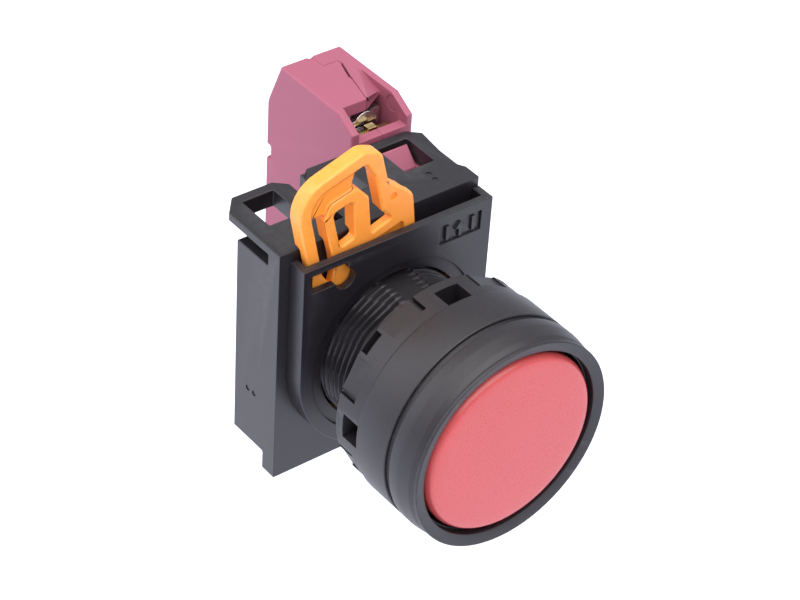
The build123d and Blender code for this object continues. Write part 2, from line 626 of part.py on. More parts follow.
with BuildPart() as contact_bridge:
    slab(BRIDGE_CENTRE[0], BRIDGE_Y, (-BRIDGE_CENTRE[1], BRIDGE_CENTRE[1]))
    slab(BRIDGE_ARM[0], BRIDGE_Y, (-BRIDGE_ARM[1], BRIDGE_ARM[1]))

with BuildPart() as bridge_contacts:
    for side in (-1, 1):
        drum(CONTACT_R, (CONTACT_FACE + CONTACT_GAP, BRIDGE_Y[0]), (SEAM_X, side * CONTACT_Z))

bridge_spring = spring(BRIDGE_SPRING, (BRIDGE_Y[1], PLUNGER_WINDOW_Y[1]), (SEAM_X, 0))
plunger_spring = spring(PLUNGER_SPRING, (PLUNGER_BODY_Y[1], BLOCK_REAR - WALL), (SEAM_X, 0))


def terminal(side):
    """Brass strip from the wire clamp down to the fixed contact, above or below the plunger."""
    slab(TERMINAL_X, TERMINAL_Y, upright(TERMINAL_SHOULDER, TERMINAL_TOP, side))
    slab(STRIP_X, TERMINAL_Y, upright(TERMINAL_END, TERMINAL_SHOULDER, side))
    slab(TERMINAL_TONGUE[0], TERMINAL_Y, upright(TERMINAL_SHOULDER, TERMINAL_TONGUE[1], side))
    through = (TERMINAL_Y[0] - 1, TERMINAL_Y[1] + 1)
    drum(TERMINAL_HOLE_R, through, (SEAM_X, side * SCREW_Z), Mode.SUBTRACT)


with BuildPart() as upper_terminal:
    terminal(1)

with BuildPart() as lower_terminal:
    terminal(-1)

with BuildPart() as fixed_contacts:
    for side in (-1, 1):
        drum(CONTACT_R, (TERMINAL_Y[1], CONTACT_FACE), (SEAM_X, side * CONTACT_Z))


def clamp_plate(side):
    """Square wire clamp with an arched, turned-up front lip, under the head of its screw."""
    centre = (SEAM_X, side * SCREW_Z)
    slab(CLAMP_X, CLAMP_Y, (centre[1] - CLAMP_HALF, centre[1] + CLAMP_HALF))
    foot, shoulder, crown = [side * height for height in CLAMP_LIP_Z]
    edge, left, right = (CLAMP_X[0], shoulder), (CLAMP_LIP_X[0], shoulder), (CLAMP_LIP_X[1], shoulder)
    with BuildSketch(facing(CLAMP_LIP_Y[0])) as lip:
        with BuildLine():
            Polyline(left, edge, (CLAMP_X[0], foot), (CLAMP_LIP_X[1], foot), right)
            ThreePointArc(right, (sum(CLAMP_LIP_X) / 2, crown), left)
        make_face()
    extrude(lip.sketch, amount=CLAMP_LIP_Y[0] - CLAMP_Y[1])
    drum(CLAMP_HOLE_R, (CLAMP_Y[0] - 1, CLAMP_Y[1] + 1), centre, Mode.SUBTRACT)


with BuildPart() as upper_clamp:
    clamp_plate(1)

with BuildPart() as lower_clamp:
    clamp_plate(-1)


def terminal_screw(side):
    """Pan-head screw along Y with a cross recess."""
    centre = (SEAM_X, side * SCREW_Z)
    half_width, half_length, depth = SCREW_RECESS
    drum(SCREW_R, SCREW_Y[:2], centre)
    drum(SCREW_HEAD_R, SCREW_Y[1:], centre)
    recess_y = (SCREW_Y[2] - depth, SCREW_Y[2] + 1)
    for x, z in ((half_length, half_width), (half_width, half_length)):
        slab((centre[0] - x, centre[0] + x), recess_y, (centre[1] - z, centre[1] + z), Mode.SUBTRACT)


with BuildPart() as upper_screw:
    terminal_screw(1)

with BuildPart() as lower_screw:
    terminal_screw(-1)

# ---------------------------------------------------------------- export

pieces = {
    "bezel_ring": bezel_ring,
    "operator_body": operator_body,
    "panel_gasket": panel_gasket,
    "lock_ring": lock_ring,
    "button_cap": button_cap,
    "cap_seal": cap_seal,
    "actuator_stem": actuator_stem,
    "pusher_foot": pusher_foot,
    "return_spring": return_spring,
    "adaptor_body": adaptor_body,
    "front_frame": front_frame,
    "locking_lever": locking_lever,
    "block_housing_left": block_housing_left,
    "block_housing_right": block_housing_right,
    "contact_plunger": contact_plunger,
    "contact_bridge": contact_bridge,
    "bridge_contacts": bridge_contacts,
    "bridge_spring": bridge_spring,
    "plunger_spring": plunger_spring,
    "upper_terminal": upper_terminal,
    "lower_terminal": lower_terminal,
    "fixed_contacts": fixed_contacts,
    "upper_clamp": upper_clamp,
    "lower_clamp": lower_clamp,
    "upper_screw": upper_screw,
    "lower_screw": lower_screw,
}

os.makedirs("parts", exist_ok=True)
for name, piece in pieces.items():
    piece.part.label = name
    export_step(piece.part, f"parts/{name}.step")
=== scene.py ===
"""Finished look of a panel-mount push button with its mounting adaptor and contact block.

Sizes in the classes are millimetres in the part's own frame: X to the right, Y back through the
panel, Z up, and the button's axis along Y through the origin. Meshes are written in metres.
"""
import json
import logging
import math
from dataclasses import dataclass
from enum import Enum

import bmesh
import bpy
import numpy as np
from mathutils import Matrix, Vector

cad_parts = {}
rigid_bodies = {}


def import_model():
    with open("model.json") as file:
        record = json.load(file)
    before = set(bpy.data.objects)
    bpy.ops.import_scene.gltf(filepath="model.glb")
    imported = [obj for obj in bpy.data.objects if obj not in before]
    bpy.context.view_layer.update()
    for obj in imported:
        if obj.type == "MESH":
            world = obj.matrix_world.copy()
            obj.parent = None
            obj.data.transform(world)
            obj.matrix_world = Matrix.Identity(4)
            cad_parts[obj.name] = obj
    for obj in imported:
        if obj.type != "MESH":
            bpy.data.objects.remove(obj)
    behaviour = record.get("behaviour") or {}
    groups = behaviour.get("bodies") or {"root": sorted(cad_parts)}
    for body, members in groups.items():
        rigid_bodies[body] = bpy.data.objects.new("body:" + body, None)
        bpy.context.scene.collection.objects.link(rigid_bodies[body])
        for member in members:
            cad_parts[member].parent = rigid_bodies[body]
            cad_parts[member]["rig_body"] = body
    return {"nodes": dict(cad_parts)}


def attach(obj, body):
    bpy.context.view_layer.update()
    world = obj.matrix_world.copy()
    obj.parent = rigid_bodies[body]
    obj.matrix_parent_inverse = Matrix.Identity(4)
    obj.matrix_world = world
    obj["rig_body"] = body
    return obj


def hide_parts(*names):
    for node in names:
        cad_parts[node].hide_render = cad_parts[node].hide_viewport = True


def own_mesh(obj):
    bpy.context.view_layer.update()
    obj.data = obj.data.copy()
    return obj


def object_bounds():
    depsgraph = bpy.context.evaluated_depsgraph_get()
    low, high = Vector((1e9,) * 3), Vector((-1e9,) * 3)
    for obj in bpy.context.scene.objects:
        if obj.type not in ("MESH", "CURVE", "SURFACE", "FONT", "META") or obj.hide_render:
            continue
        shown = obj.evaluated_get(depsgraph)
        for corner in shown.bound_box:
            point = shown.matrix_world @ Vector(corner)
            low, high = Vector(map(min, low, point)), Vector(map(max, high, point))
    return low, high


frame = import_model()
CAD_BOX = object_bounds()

MM = 0.001              # metres in a millimetre
CRISP = 0.05            # rounding of an edge that looks sharp, in millimetres
SAME_PLACE = 1e-7       # points closer than this, in metres, are one
CAD_POINT = 2e-6        # the same for a CAD node's points
FLAT = 0.5              # faces that meet at a smaller angle, in degrees, are joined
log = logging.getLogger("push_button")

Triple = tuple[float, float, float]
Colour = Triple
Span = tuple[float, float]


# ---------------------------------------------------------------- shader effects


class Effect(Enum):
    """Shader node groups that several finishes share."""

    DRIFT = "tone drift"
    GRAIN = "moulded grain"
    # lighter sharp edges: edge wear, and on the lever a painted highlight
    WEAR_AND_HIGHLIGHT = "edge wear and painted highlight"
    DUST = "settled dust"
    BRUSH = "drawn metal"


class NodeSheet:
    """Short way to add and link nodes in one tree."""

    def __init__(self, tree: bpy.types.NodeTree) -> None:
        """Take the tree to draw in."""
        self.tree = tree

    def add(self, kind: str, **settings: object) -> bpy.types.Node:
        """Add a node.

        Args:
            kind: node type without its ShaderNode prefix, or a full type name.
            **settings: node properties; names of input sockets take their default value.

        Returns:
            The new node.
        """
        full = kind if kind.startswith("Node") else f"ShaderNode{kind}"
        node = self.tree.nodes.new(full)
        for name, value in settings.items():
            if hasattr(node, name):
                setattr(node, name, value)
            else:
                node.inputs[name.replace("_", " ")].default_value = value
        return node

    def link(self, source: bpy.types.NodeSocket, target: bpy.types.NodeSocket) -> None:
        """Join two sockets."""
        self.tree.links.new(source, target)

    def feed(self, socket: bpy.types.NodeSocket, value: object) -> None:
        """Give an input a value: a link where it is a socket, else a number or a colour."""
        if isinstance(value, bpy.types.NodeSocket):
            self.link(value, socket)
        else:
            socket.default_value = value

    def spread(self, value: bpy.types.NodeSocket, span: Span,
               result: tuple[object, object] = (0.0, 1.0)) -> bpy.types.NodeSocket:
        """Map a value linearly from one span to another, clamped at the ends.

        Args:
            value: socket to map.
            span: values that become the two ends of the result.
            result: the two ends, each a number or a socket.

        Returns:
            Socket with the mapped value.
        """
        node = self.add("MapRange")
        names = ("Value", "From Min", "From Max", "To Min", "To Max")
        for name, limit in zip(names, (value, *span, *result)):
            self.feed(node.inputs[name], limit)
        return node.outputs["Result"]

    def combine(self, operation: str, first: object, second: object) -> bpy.types.NodeSocket:
        """Join two values, each a socket or a number, with a Math node.

        Args:
            operation: name of the Math node's operation.
            first: left-hand value.
            second: right-hand value.

        Returns:
            Socket with the result.
        """
        node = self.add("Math", operation=operation)
        for socket, value in zip(node.inputs, (first, second)):
            self.feed(socket, value)
        return node.outputs["Value"]

    def scaled(self, colour: bpy.types.NodeSocket,
               factor: bpy.types.NodeSocket) -> bpy.types.NodeSocket:
        """Colour times a factor."""
        node = self.add("VectorMath", operation="SCALE")
        self.link(colour, node.inputs[0])
        self.link(factor, node.inputs["Scale"])
        return node.outputs["Vector"]

    def mixed(self, share: bpy.types.NodeSocket, first: bpy.types.NodeSocket,
              second: bpy.types.NodeSocket) -> bpy.types.NodeSocket:
        """First colour where the share is 0 and second colour where it is 1."""
        node = self.add("Mix", data_type="RGBA")
        for name, source in (("Factor", share), ("A", first), ("B", second)):
            self.link(source, node.inputs[name])
        return node.outputs["Result"]


class EffectKit:
    """Builds each shared effect once and places it in materials. Scales are cycles per metre."""

    SOCKETS = {"colour": "NodeSocketColor", "value": "NodeSocketFloat"}
    OCTAVE_WEIGHT = 0.55
    DRIFT_SPAN = (0.25, 0.75)
    GRAIN_SPAN = (0.35, 0.65)
    WEAR_HIGHLIGHT_SCALE = 900.0
    WEAR_HIGHLIGHT_TURN = (0.0, 0.07)         # how far past the start the edge takes its full edge colour, worn and painted highlight
    WEAR_HIGHLIGHT_SPAN = (0.35, 0.6)
    WEAR_HIGHLIGHT_SHARE = (0.35, 1.0)
    UPWARD = (0.2, 1.0)             # heights of the normal between which dust begins to lie
    VEIL_SCALE = 1600.0
    VEIL_SPAN = (0.4, 0.75)
    VEIL_SHARE = 0.15
    SPECK_SCALE = 6200.0
    SPECK_SPAN = (0.70, 0.78)
    LINE_SCALE = 6000.0
    LINE_STRETCH = (1.0, 0.08, 1.0)
    CLOUD_SCALE = 700.0
    CLOUD_SPAN = (0.3, 0.7)
    CLOUD_TONE = (0.82, 1.08)

    def __init__(self) -> None:
        """Build every group."""
        self.groups = {
            Effect.DRIFT: self._drift(),
            Effect.GRAIN: self._grain(),
            Effect.WEAR_AND_HIGHLIGHT: self._wear_and_highlight(),
            Effect.DUST: self._dust(),
            Effect.BRUSH: self._brush(),
        }

    def place(self, sheet: NodeSheet, effect: Effect, **values: object) -> bpy.types.Node:
        """Put an effect in a material.

        Args:
            sheet: the material's node sheet.
            effect: which group.
            **values: input values by socket name, or a socket to link.

        Returns:
            The group node.
        """
        node = sheet.add("Group")
        node.node_tree = self.groups[effect]
        for name, value in values.items():
            sheet.feed(node.inputs[name], value)
        return node

    def _begin(self, effect: Effect, takes: dict[str, str], gives: dict[str, str]) -> tuple:
        """Start a group.

        Args:
            effect: the group's name.
            takes: input names and their kinds, colour or value.
            gives: output names and their kinds.

        Returns:
            The group, its sheet, its input sockets and its output sockets.
        """
        group = bpy.data.node_groups.new(effect.value, "ShaderNodeTree")
        for direction, sockets in (("INPUT", takes), ("OUTPUT", gives)):
            for name, kind in sockets.items():
                group.interface.new_socket(name, in_out=direction, socket_type=self.SOCKETS[kind])
        sheet = NodeSheet(group)
        inside, outside = sheet.add("NodeGroupInput"), sheet.add("NodeGroupOutput")
        return group, sheet, inside.outputs, outside.inputs

    def _noise(self, sheet: NodeSheet, scale: object, detail: float,
               stretch: Triple | None = None) -> bpy.types.NodeSocket:
        """Noise on object coordinates.

        Args:
            sheet: where to draw it.
            scale: cycles per metre, a number or a socket.
            detail: octaves.
            stretch: factors along X, Y and Z before the noise is read.

        Returns:
            Socket with the noise, about 0.5 on average.
        """
        place = sheet.add("TexCoord").outputs["Object"]
        if stretch:
            mapping = sheet.add("Mapping", Scale=stretch)
            sheet.link(place, mapping.inputs["Vector"])
            place = mapping.outputs["Vector"]
        noise = sheet.add("TexNoise", Detail=detail, Roughness=self.OCTAVE_WEIGHT)
        sheet.link(place, noise.inputs["Vector"])
        sheet.feed(noise.inputs["Scale"], scale)
        return noise.outputs["Fac"]

    def _drift(self) -> bpy.types.NodeTree:
        """Colour times one plus drift times a slow noise about zero, as in moulded plastic."""
        group, sheet, takes, gives = self._begin(
            Effect.DRIFT,
            {"Colour": "colour", "Drift": "value", "Scale": "value"},
            {"Colour": "colour"})
        noise = self._noise(sheet, takes["Scale"], 3.0)
        swing = sheet.spread(noise, self.DRIFT_SPAN, (-1.0, 1.0))
        factor = sheet.combine("ADD", sheet.combine("MULTIPLY", swing, takes["Drift"]), 1.0)
        sheet.link(sheet.scaled(takes["Colour"], factor), gives["Colour"])
        return group

    def _grain(self) -> bpy.types.NodeTree:
        """Spark-eroded mould texture: the mean of a fine noise and a cell pattern is the height,
        and the noise alone gives the roughness."""
        group, sheet, takes, gives = self._begin(
            Effect.GRAIN,
            {"Scale": "value", "Smooth": "value", "Rough": "value"},
            {"Height": "value", "Roughness": "value"})
        fine = self._noise(sheet, takes["Scale"], 4.0)
        cells = sheet.add("TexVoronoi", feature="SMOOTH_F1")
        sheet.link(sheet.add("TexCoord").outputs["Object"], cells.inputs["Vector"])
        sheet.link(takes["Scale"], cells.inputs["Scale"])
        both = sheet.combine("ADD", fine, cells.outputs["Distance"])
        sheet.link(sheet.combine("MULTIPLY", both, 0.5), gives["Height"])
        rough = sheet.spread(fine, self.GRAIN_SPAN, (takes["Smooth"], takes["Rough"]))
        sheet.link(rough, gives["Roughness"])
        return group

    def _wear_and_highlight(self) -> bpy.types.NodeTree:
        """Colour blended towards a lighter edge colour where the surface turns sharply outwards,
        broken up by a noise: edge wear, and on the lever a painted highlight."""
        group, sheet, takes, gives = self._begin(
            Effect.WEAR_AND_HIGHLIGHT,
            {"Colour": "colour", "Worn": "colour", "Amount": "value", "Start": "value"},
            {"Colour": "colour"})
        pointed = sheet.add("NewGeometry").outputs["Pointiness"]
        edge = sheet.spread(sheet.combine("SUBTRACT", pointed, takes["Start"]), self.WEAR_HIGHLIGHT_TURN)
        noise = self._noise(sheet, self.WEAR_HIGHLIGHT_SCALE, 5.0)
        broken = sheet.spread(noise, self.WEAR_HIGHLIGHT_SPAN, self.WEAR_HIGHLIGHT_SHARE)
        mask = sheet.combine("MULTIPLY", sheet.combine("MULTIPLY", edge, broken), takes["Amount"])
        sheet.link(sheet.mixed(mask, takes["Colour"], takes["Worn"]), gives["Colour"])
        return group

    def _dust(self) -> bpy.types.NodeTree:
        """Pale specks and a thin veil on faces that look up: the normal's height times a noise."""
        group, sheet, takes, gives = self._begin(
            Effect.DUST,
            {"Colour": "colour", "Dust": "colour", "Amount": "value"},
            {"Colour": "colour"})
        split = sheet.add("SeparateXYZ")
        sheet.link(sheet.add("NewGeometry").outputs["Normal"], split.inputs["Vector"])
        up = sheet.spread(split.outputs["Z"], self.UPWARD)
        veil = sheet.spread(self._noise(sheet, self.VEIL_SCALE, 4.0), self.VEIL_SPAN)
        specks = sheet.spread(self._noise(sheet, self.SPECK_SCALE, 2.0), self.SPECK_SPAN)
        share = sheet.combine("ADD", sheet.combine("MULTIPLY", veil, self.VEIL_SHARE), specks)
        mask = sheet.combine("MULTIPLY", sheet.combine("MULTIPLY", share, up), takes["Amount"])
        sheet.link(sheet.mixed(mask, takes["Colour"], takes["Dust"]), gives["Colour"])
        return group

    def _brush(self) -> bpy.types.NodeTree:
        """Fine drawing lines along Y: a noise stretched along the axis gives the height, and its
        mean with a cloudy one the roughness; the clouds also change the tone slightly."""
        group, sheet, takes, gives = self._begin(
            Effect.BRUSH,
            {"Colour": "colour", "Smooth": "value", "Rough": "value"},
            {"Colour": "colour", "Height": "value", "Roughness": "value"})
        lines = self._noise(sheet, self.LINE_SCALE, 3.0, self.LINE_STRETCH)
        cloud = self._noise(sheet, self.CLOUD_SCALE, 4.0)
        blend = sheet.combine("MULTIPLY", sheet.combine("ADD", lines, cloud), 0.5)
        rough = sheet.spread(blend, self.CLOUD_SPAN, (takes["Smooth"], takes["Rough"]))
        tone = sheet.spread(cloud, self.CLOUD_SPAN, self.CLOUD_TONE)
        sheet.link(rough, gives["Roughness"])
        sheet.link(lines, gives["Height"])
        sheet.link(sheet.scaled(takes["Colour"], tone), gives["Colour"])
        return group


# ---------------------------------------------------------------- finishes


@dataclass(frozen=True)
class Plastic:
    """Moulded plastic or rubber: base colour with drift, grain, lighter sharp edges for wear and
    painted highlight, and a little dust.
    """

    name: str
    colour: Colour
    smooth: float = 0.38
    rough: float = 0.5
    grain_size: float = 0.16
    grain_depth: float = 0.012
    drift: float = 0.04
    # lighter colour, amount and start on sharp edges: edge wear, and on the lever a painted
    # highlight
    worn_and_highlight: Colour = (0.05, 0.05, 0.055)
    wear_and_highlight: float = 0.4
    wear_and_highlight_start: float = 0.56
    dust: float = 0.05
    specular: float = 0.5
    glow: float = 0.0
    glow_radius: float = 1.5
    gloss: float = 0.0

    DRIFT_SCALE = 140.0
    DUST_COLOUR = (0.55, 0.54, 0.52, 1.0)
    BUMP_STRENGTH = 0.6
    GLOSS_ROUGHNESS = 0.12
    GLOW_DEPTHS = (1.0, 0.45, 0.2)      # red light travels furthest under the surface

    def build(self, kit: EffectKit) -> bpy.types.Material:
        """Make the material.

        Args:
            kit: the shared effects.

        Returns:
            The finished material.
        """
        material = bpy.data.materials.new(self.name)
        material.use_nodes = True
        sheet = NodeSheet(material.node_tree)
        shader = material.node_tree.nodes["Principled BSDF"]
        drift = kit.place(sheet, Effect.DRIFT, Colour=(*self.colour, 1.0),
                          Drift=self.drift, Scale=self.DRIFT_SCALE)
        # sharp edges blended towards the edge colour: wear, and on the lever a painted highlight
        wear_and_highlight = kit.place(sheet, Effect.WEAR_AND_HIGHLIGHT, Colour=drift.outputs["Colour"],
                         Worn=(*self.worn_and_highlight, 1.0), Amount=self.wear_and_highlight, Start=self.wear_and_highlight_start)
        dust = kit.place(sheet, Effect.DUST, Colour=wear_and_highlight.outputs["Colour"],
                         Dust=self.DUST_COLOUR, Amount=self.dust)
        grain = kit.place(sheet, Effect.GRAIN, Scale=1.0 / (self.grain_size * MM),
                          Smooth=self.smooth, Rough=self.rough)
        bump = sheet.add("Bump", Strength=self.BUMP_STRENGTH, Distance=self.grain_depth * MM)
        sheet.link(dust.outputs["Colour"], shader.inputs["Base Color"])
        sheet.link(grain.outputs["Roughness"], shader.inputs["Roughness"])
        sheet.link(grain.outputs["Height"], bump.inputs["Height"])
        sheet.link(bump.outputs["Normal"], shader.inputs["Normal"])
        shader.inputs["Specular IOR Level"].default_value = self.specular
        shader.inputs["Coat Weight"].default_value = self.gloss
        shader.inputs["Coat Roughness"].default_value = self.GLOSS_ROUGHNESS
        if self.glow:
            shader.inputs["Subsurface Weight"].default_value = self.glow
            shader.inputs["Subsurface Scale"].default_value = self.glow_radius * MM
            shader.inputs["Subsurface Radius"].default_value = self.GLOW_DEPTHS
        return material


@dataclass(frozen=True)
class Metal:
    """Drawn or plated metal with fine lines, cloudy tone and polished edges."""

    name: str
    colour: Colour
    smooth: float = 0.18
    rough: float = 0.38
    line_depth: float = 0.004
    polished: Colour = (0.95, 0.95, 0.93)
    wear_and_highlight: float = 0.5

    WEAR_START = 0.55
    BUMP_STRENGTH = 0.5

    def build(self, kit: EffectKit) -> bpy.types.Material:
        """Make the material.

        Args:
            kit: the shared effects.

        Returns:
            The finished material.
        """
        material = bpy.data.materials.new(self.name)
        material.use_nodes = True
        sheet = NodeSheet(material.node_tree)
        shader = material.node_tree.nodes["Principled BSDF"]
        brush = kit.place(sheet, Effect.BRUSH, Colour=(*self.colour, 1.0),
                          Smooth=self.smooth, Rough=self.rough)
        wear_and_highlight = kit.place(sheet, Effect.WEAR_AND_HIGHLIGHT, Colour=brush.outputs["Colour"],
                         Worn=(*self.polished, 1.0), Amount=self.wear_and_highlight, Start=self.WEAR_START)
        bump = sheet.add("Bump", Strength=self.BUMP_STRENGTH, Distance=self.line_depth * MM)
        sheet.link(wear_and_highlight.outputs["Colour"], shader.inputs["Base Color"])
        sheet.link(brush.outputs["Roughness"], shader.inputs["Roughness"])
        sheet.link(brush.outputs["Height"], bump.inputs["Height"])
        sheet.link(bump.outputs["Normal"], shader.inputs["Normal"])
        shader.inputs["Metallic"].default_value = 1.0
        return material


FINISHES = {
    "black_satin_plastic": Plastic(
        "black satin plastic", (0.0135, 0.0115, 0.0145), smooth=0.42, rough=0.5,
        grain_size=0.11, grain_depth=0.010, worn_and_highlight=(0.06, 0.06, 0.064)),
    "black_plastic": Plastic(
        "black plastic", (0.0125, 0.0108, 0.0140), smooth=0.33, rough=0.41,
        grain_size=0.14, grain_depth=0.008),
    "black_rubber": Plastic(
        "black rubber", (0.008, 0.008, 0.008), smooth=0.7, rough=0.85,
        grain_depth=0.01, wear_and_highlight=0.1, specular=0.3),
    "red_plastic": Plastic(
        "red cap plastic", (0.54, 0.072, 0.074), smooth=0.26, rough=0.34,
        grain_size=0.2, grain_depth=0.004, drift=0.02, worn_and_highlight=(0.8, 0.12, 0.12),
        glow=0.2, gloss=0.04),
    "grey_plastic": Plastic("grey plastic", (0.45, 0.45, 0.43), worn_and_highlight=(0.7, 0.7, 0.68)),
    # the lever's pale yellow edges are a painted highlight for the light on and through its top
    # faces
    "orange_plastic": Plastic(
        "orange lever plastic", (0.95, 0.30, 0.030), smooth=0.34, rough=0.44,
        grain_size=0.25, grain_depth=0.004, drift=0.03, worn_and_highlight=(1.0, 0.62, 0.2),
        wear_and_highlight=0.5, wear_and_highlight_start=0.505, glow=0.3, glow_radius=1.0),
    "magenta_plastic": Plastic(
        "magenta block plastic", (0.325, 0.086, 0.138), smooth=0.52, rough=0.58,
        grain_depth=0.003, drift=0.012, worn_and_highlight=(0.60, 0.21, 0.30),
        wear_and_highlight=0.1, wear_and_highlight_start=0.62, specular=0.4),
    "spring_steel": Metal("spring steel", (0.52, 0.52, 0.50)),
    "brass": Metal("brass strip", (0.62, 0.42, 0.17), polished=(0.9, 0.75, 0.42)),
    "silver_contact": Metal("silver contact", (0.80, 0.80, 0.78), smooth=0.25, rough=0.45),
    "plated_steel": Metal("plated steel", (0.80, 0.81, 0.85), smooth=0.2, rough=0.34),
}


class Dresser:
    """Gives a built mesh its finish and its body, and hides the CAD node it stands for."""

    def __init__(self) -> None:
        """Build every finish once."""
        kit = EffectKit()
        self.materials = {slot: finish.build(kit) for slot, finish in FINISHES.items()}

    def dress(self, piece: bpy.types.Object, node: str, slot: str) -> bpy.types.Object:
        """Finish one piece.

        Args:
            piece: object in its place, with its mesh in metres.
            node: CAD node that it stands for; its body is the piece's body.
            slot: material slot of the record.

        Returns:
            The same object.
        """
        piece.data.materials.clear()
        piece.data.materials.append(self.materials[slot])
        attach(piece, frame["nodes"][node]["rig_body"])
        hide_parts(node)
        log.info("%s: %d faces, %s", piece.name, len(piece.data.polygons), slot)
        return piece

    @staticmethod
    def shorten(spring: bpy.types.Object, seat: float, length: float) -> None:
        """Give a coil spring a mesh of its own; nothing here makes it shorten towards its fixed
        seat.

        Args:
            spring: the dressed spring, its wire wound about Y.
            seat: depth of the end that stays; not used.
            length: length of the spring at rest; not used.
        """
        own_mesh(spring)


# ---------------------------------------------------------------- surfaces


def rounded_outline(corners: np.ndarray, steps: int = 5) -> np.ndarray:
    """Closed outline with each corner rounded by its own radius.

    The tangent points lie radius / tan(half angle) from the corner along both sides, and the arc
    between them turns about the point radius / sin(half angle) away on the bisector.

    Args:
        corners: rows of (radius from the axis, depth, corner radius).
        steps: points on each arc.

    Returns:
        Rows of (radius from the axis, depth).
    """
    point, rounding = corners[:, :2], corners[:, 2:]
    to_last = np.roll(point, 1, 0) - point
    to_next = np.roll(point, -1, 0) - point
    to_last /= np.linalg.norm(to_last, axis=1, keepdims=True)
    to_next /= np.linalg.norm(to_next, axis=1, keepdims=True)
    half = np.arccos(np.clip((to_last * to_next).sum(1, keepdims=True), -1, 1)) / 2
    bisector = to_last + to_next
    length = np.maximum(np.linalg.norm(bisector, axis=1, keepdims=True), 1e-9)
    centre = point + bisector / length * rounding / np.sin(half)
    start = point + to_last * rounding / np.tan(half) - centre
    end = point + to_next * rounding / np.tan(half) - centre
    turn = np.maximum(np.pi - 2 * half, 1e-6)[:, None]
    share = np.linspace(0, 1, steps)[None, :, None]
    arc = np.sin((1 - share) * turn) * start[:, None] + np.sin(share * turn) * end[:, None]
    return (centre[:, None] + arc / np.sin(turn)).reshape(-1, 2)


def ring_angles(columns: int) -> np.ndarray:
    """Equal angles once round, from the top towards +X."""
    return np.arange(columns) * (2 * np.pi / columns)


def wrapped_quads(rows: int, columns: int, close_rows: bool = True) -> np.ndarray:
    """Quads of a grid whose columns close on themselves, and its rows too if asked.

    Args:
        rows: points along the outline.
        columns: points round the axis or path.
        close_rows: True where the outline is a closed loop.

    Returns:
        Rows of four vertex numbers.
    """
    row = np.arange(rows if close_rows else rows - 1)[:, None]
    column = np.arange(columns)[None, :]
    over, along = (row + 1) % rows, (column + 1) % columns
    corners = [start * columns + place
               for start, place in ((row, column), (over, column), (over, along), (row, along))]
    return np.stack([np.broadcast_to(c, (len(row), columns)) for c in corners], -1).reshape(-1, 4)


def turned(outline: np.ndarray, angles: np.ndarray) -> np.ndarray:
    """Points of an outline carried round the Y axis.

    Args:
        outline: (rows, 2) or (rows, columns, 2) of radius and depth.
        angles: (columns,) from the top towards +X.

    Returns:
        (rows, columns, 3) points: X is radius times sine, Z is radius times cosine.
    """
    if outline.ndim == 2:
        outline = np.repeat(outline[:, None], len(angles), 1)
    radius, depth = outline[..., 0], outline[..., 1]
    return np.stack([radius * np.sin(angles), depth, radius * np.cos(angles)], -1)


def mesh_object(name: str, points: np.ndarray, faces: list,
                smooth_below: float = 35.0) -> bpy.types.Object:
    """Object from points in millimetres, with doubles merged and faces turned outwards.

    Args:
        name: the object's name.
        points: (..., 3) places in millimetres.
        faces: vertex numbers of each face.
        smooth_below: edges that turn by more degrees than this stay sharp.

    Returns:
        The linked object.
    """
    mesh = bpy.data.meshes.new(name)
    mesh.from_pydata((points.reshape(-1, 3) * MM).tolist(), [], [list(map(int, f)) for f in faces])
    shell = bmesh.new()
    shell.from_mesh(mesh)
    bmesh.ops.remove_doubles(shell, verts=shell.verts, dist=SAME_PLACE)
    bmesh.ops.recalc_face_normals(shell, faces=shell.faces)
    shell.to_mesh(mesh)
    shell.free()
    mesh.shade_smooth()
    mesh.set_sharp_from_angle(angle=math.radians(smooth_below))
    made = bpy.data.objects.new(name, mesh)
    bpy.context.scene.collection.objects.link(made)
    return made


def lathe(name: str, corners: tuple, columns: int = 128) -> bpy.types.Object:
    """Ring or disc turned about the button's axis from a closed, rounded outline.

    Args:
        name: the object's name.
        corners: (radius, depth, corner radius) in order round the outline.
        columns: points round the axis.

    Returns:
        The linked object.
    """
    outline = rounded_outline(np.array(corners, float))
    points = turned(outline, ring_angles(columns))
    return mesh_object(name, points, wrapped_quads(len(outline), columns))


def flat_ring(name: str, radii: Span, depths: Span, roundings: tuple) -> bpy.types.Object:
    """Ring of rectangular section about the button's axis.

    Args:
        name: the object's name.
        radii: inner and outer radius.
        depths: front and back.
        roundings: one for each corner, from the inner front one by way of the outer front one.

    Returns:
        The linked object.
    """
    inner, outer = radii
    front, back = depths
    corners = ((inner, front), (outer, front), (outer, back), (inner, back))
    return lathe(name, tuple((*corner, rounding) for corner, rounding in zip(corners, roundings)))


def wire_spring(name: str, wire: float, radius: float, ends: Span, turns: float,
                centre: Span = (0.0, 0.0), sides: int = 12) -> bpy.types.Object:
    """Round wire carried along a helix about Y, its end coils drawn flat against the seats.

    The angle runs evenly along the wire. The depth stays still for the first and last part of a
    turn and grows evenly between them. The wire's circle stands on the radius and the axis.

    Args:
        name: the object's name.
        wire: wire radius.
        radius: coil radius.
        ends: depths of the first and last coil's centre line.
        turns: number of coils.
        centre: X and Z of the axis.
        sides: points round the wire.

    Returns:
        The linked object.
    """
    points_a_turn, flat_turns = 40, 0.6
    along = np.linspace(0, 1, int(turns * points_a_turn))
    angle = along * turns * 2 * np.pi
    rise = np.clip((along - flat_turns / turns) / (1 - 2 * flat_turns / turns), 0, 1)
    depth = ends[0] + (ends[1] - ends[0]) * rise
    around = ring_angles(sides)
    reach = radius + wire * np.cos(around)[None, :]
    points = np.stack([
        centre[0] + reach * np.sin(angle)[:, None],
        depth[:, None] + wire * np.sin(around)[None, :],
        centre[1] + reach * np.cos(angle)[:, None],
    ], -1)
    faces = wrapped_quads(len(along), sides, close_rows=False).tolist()
    last = (len(along) - 1) * sides
    faces += [list(range(sides)), list(range(last + sides - 1, last - 1, -1))]
    return mesh_object(name, points, faces)


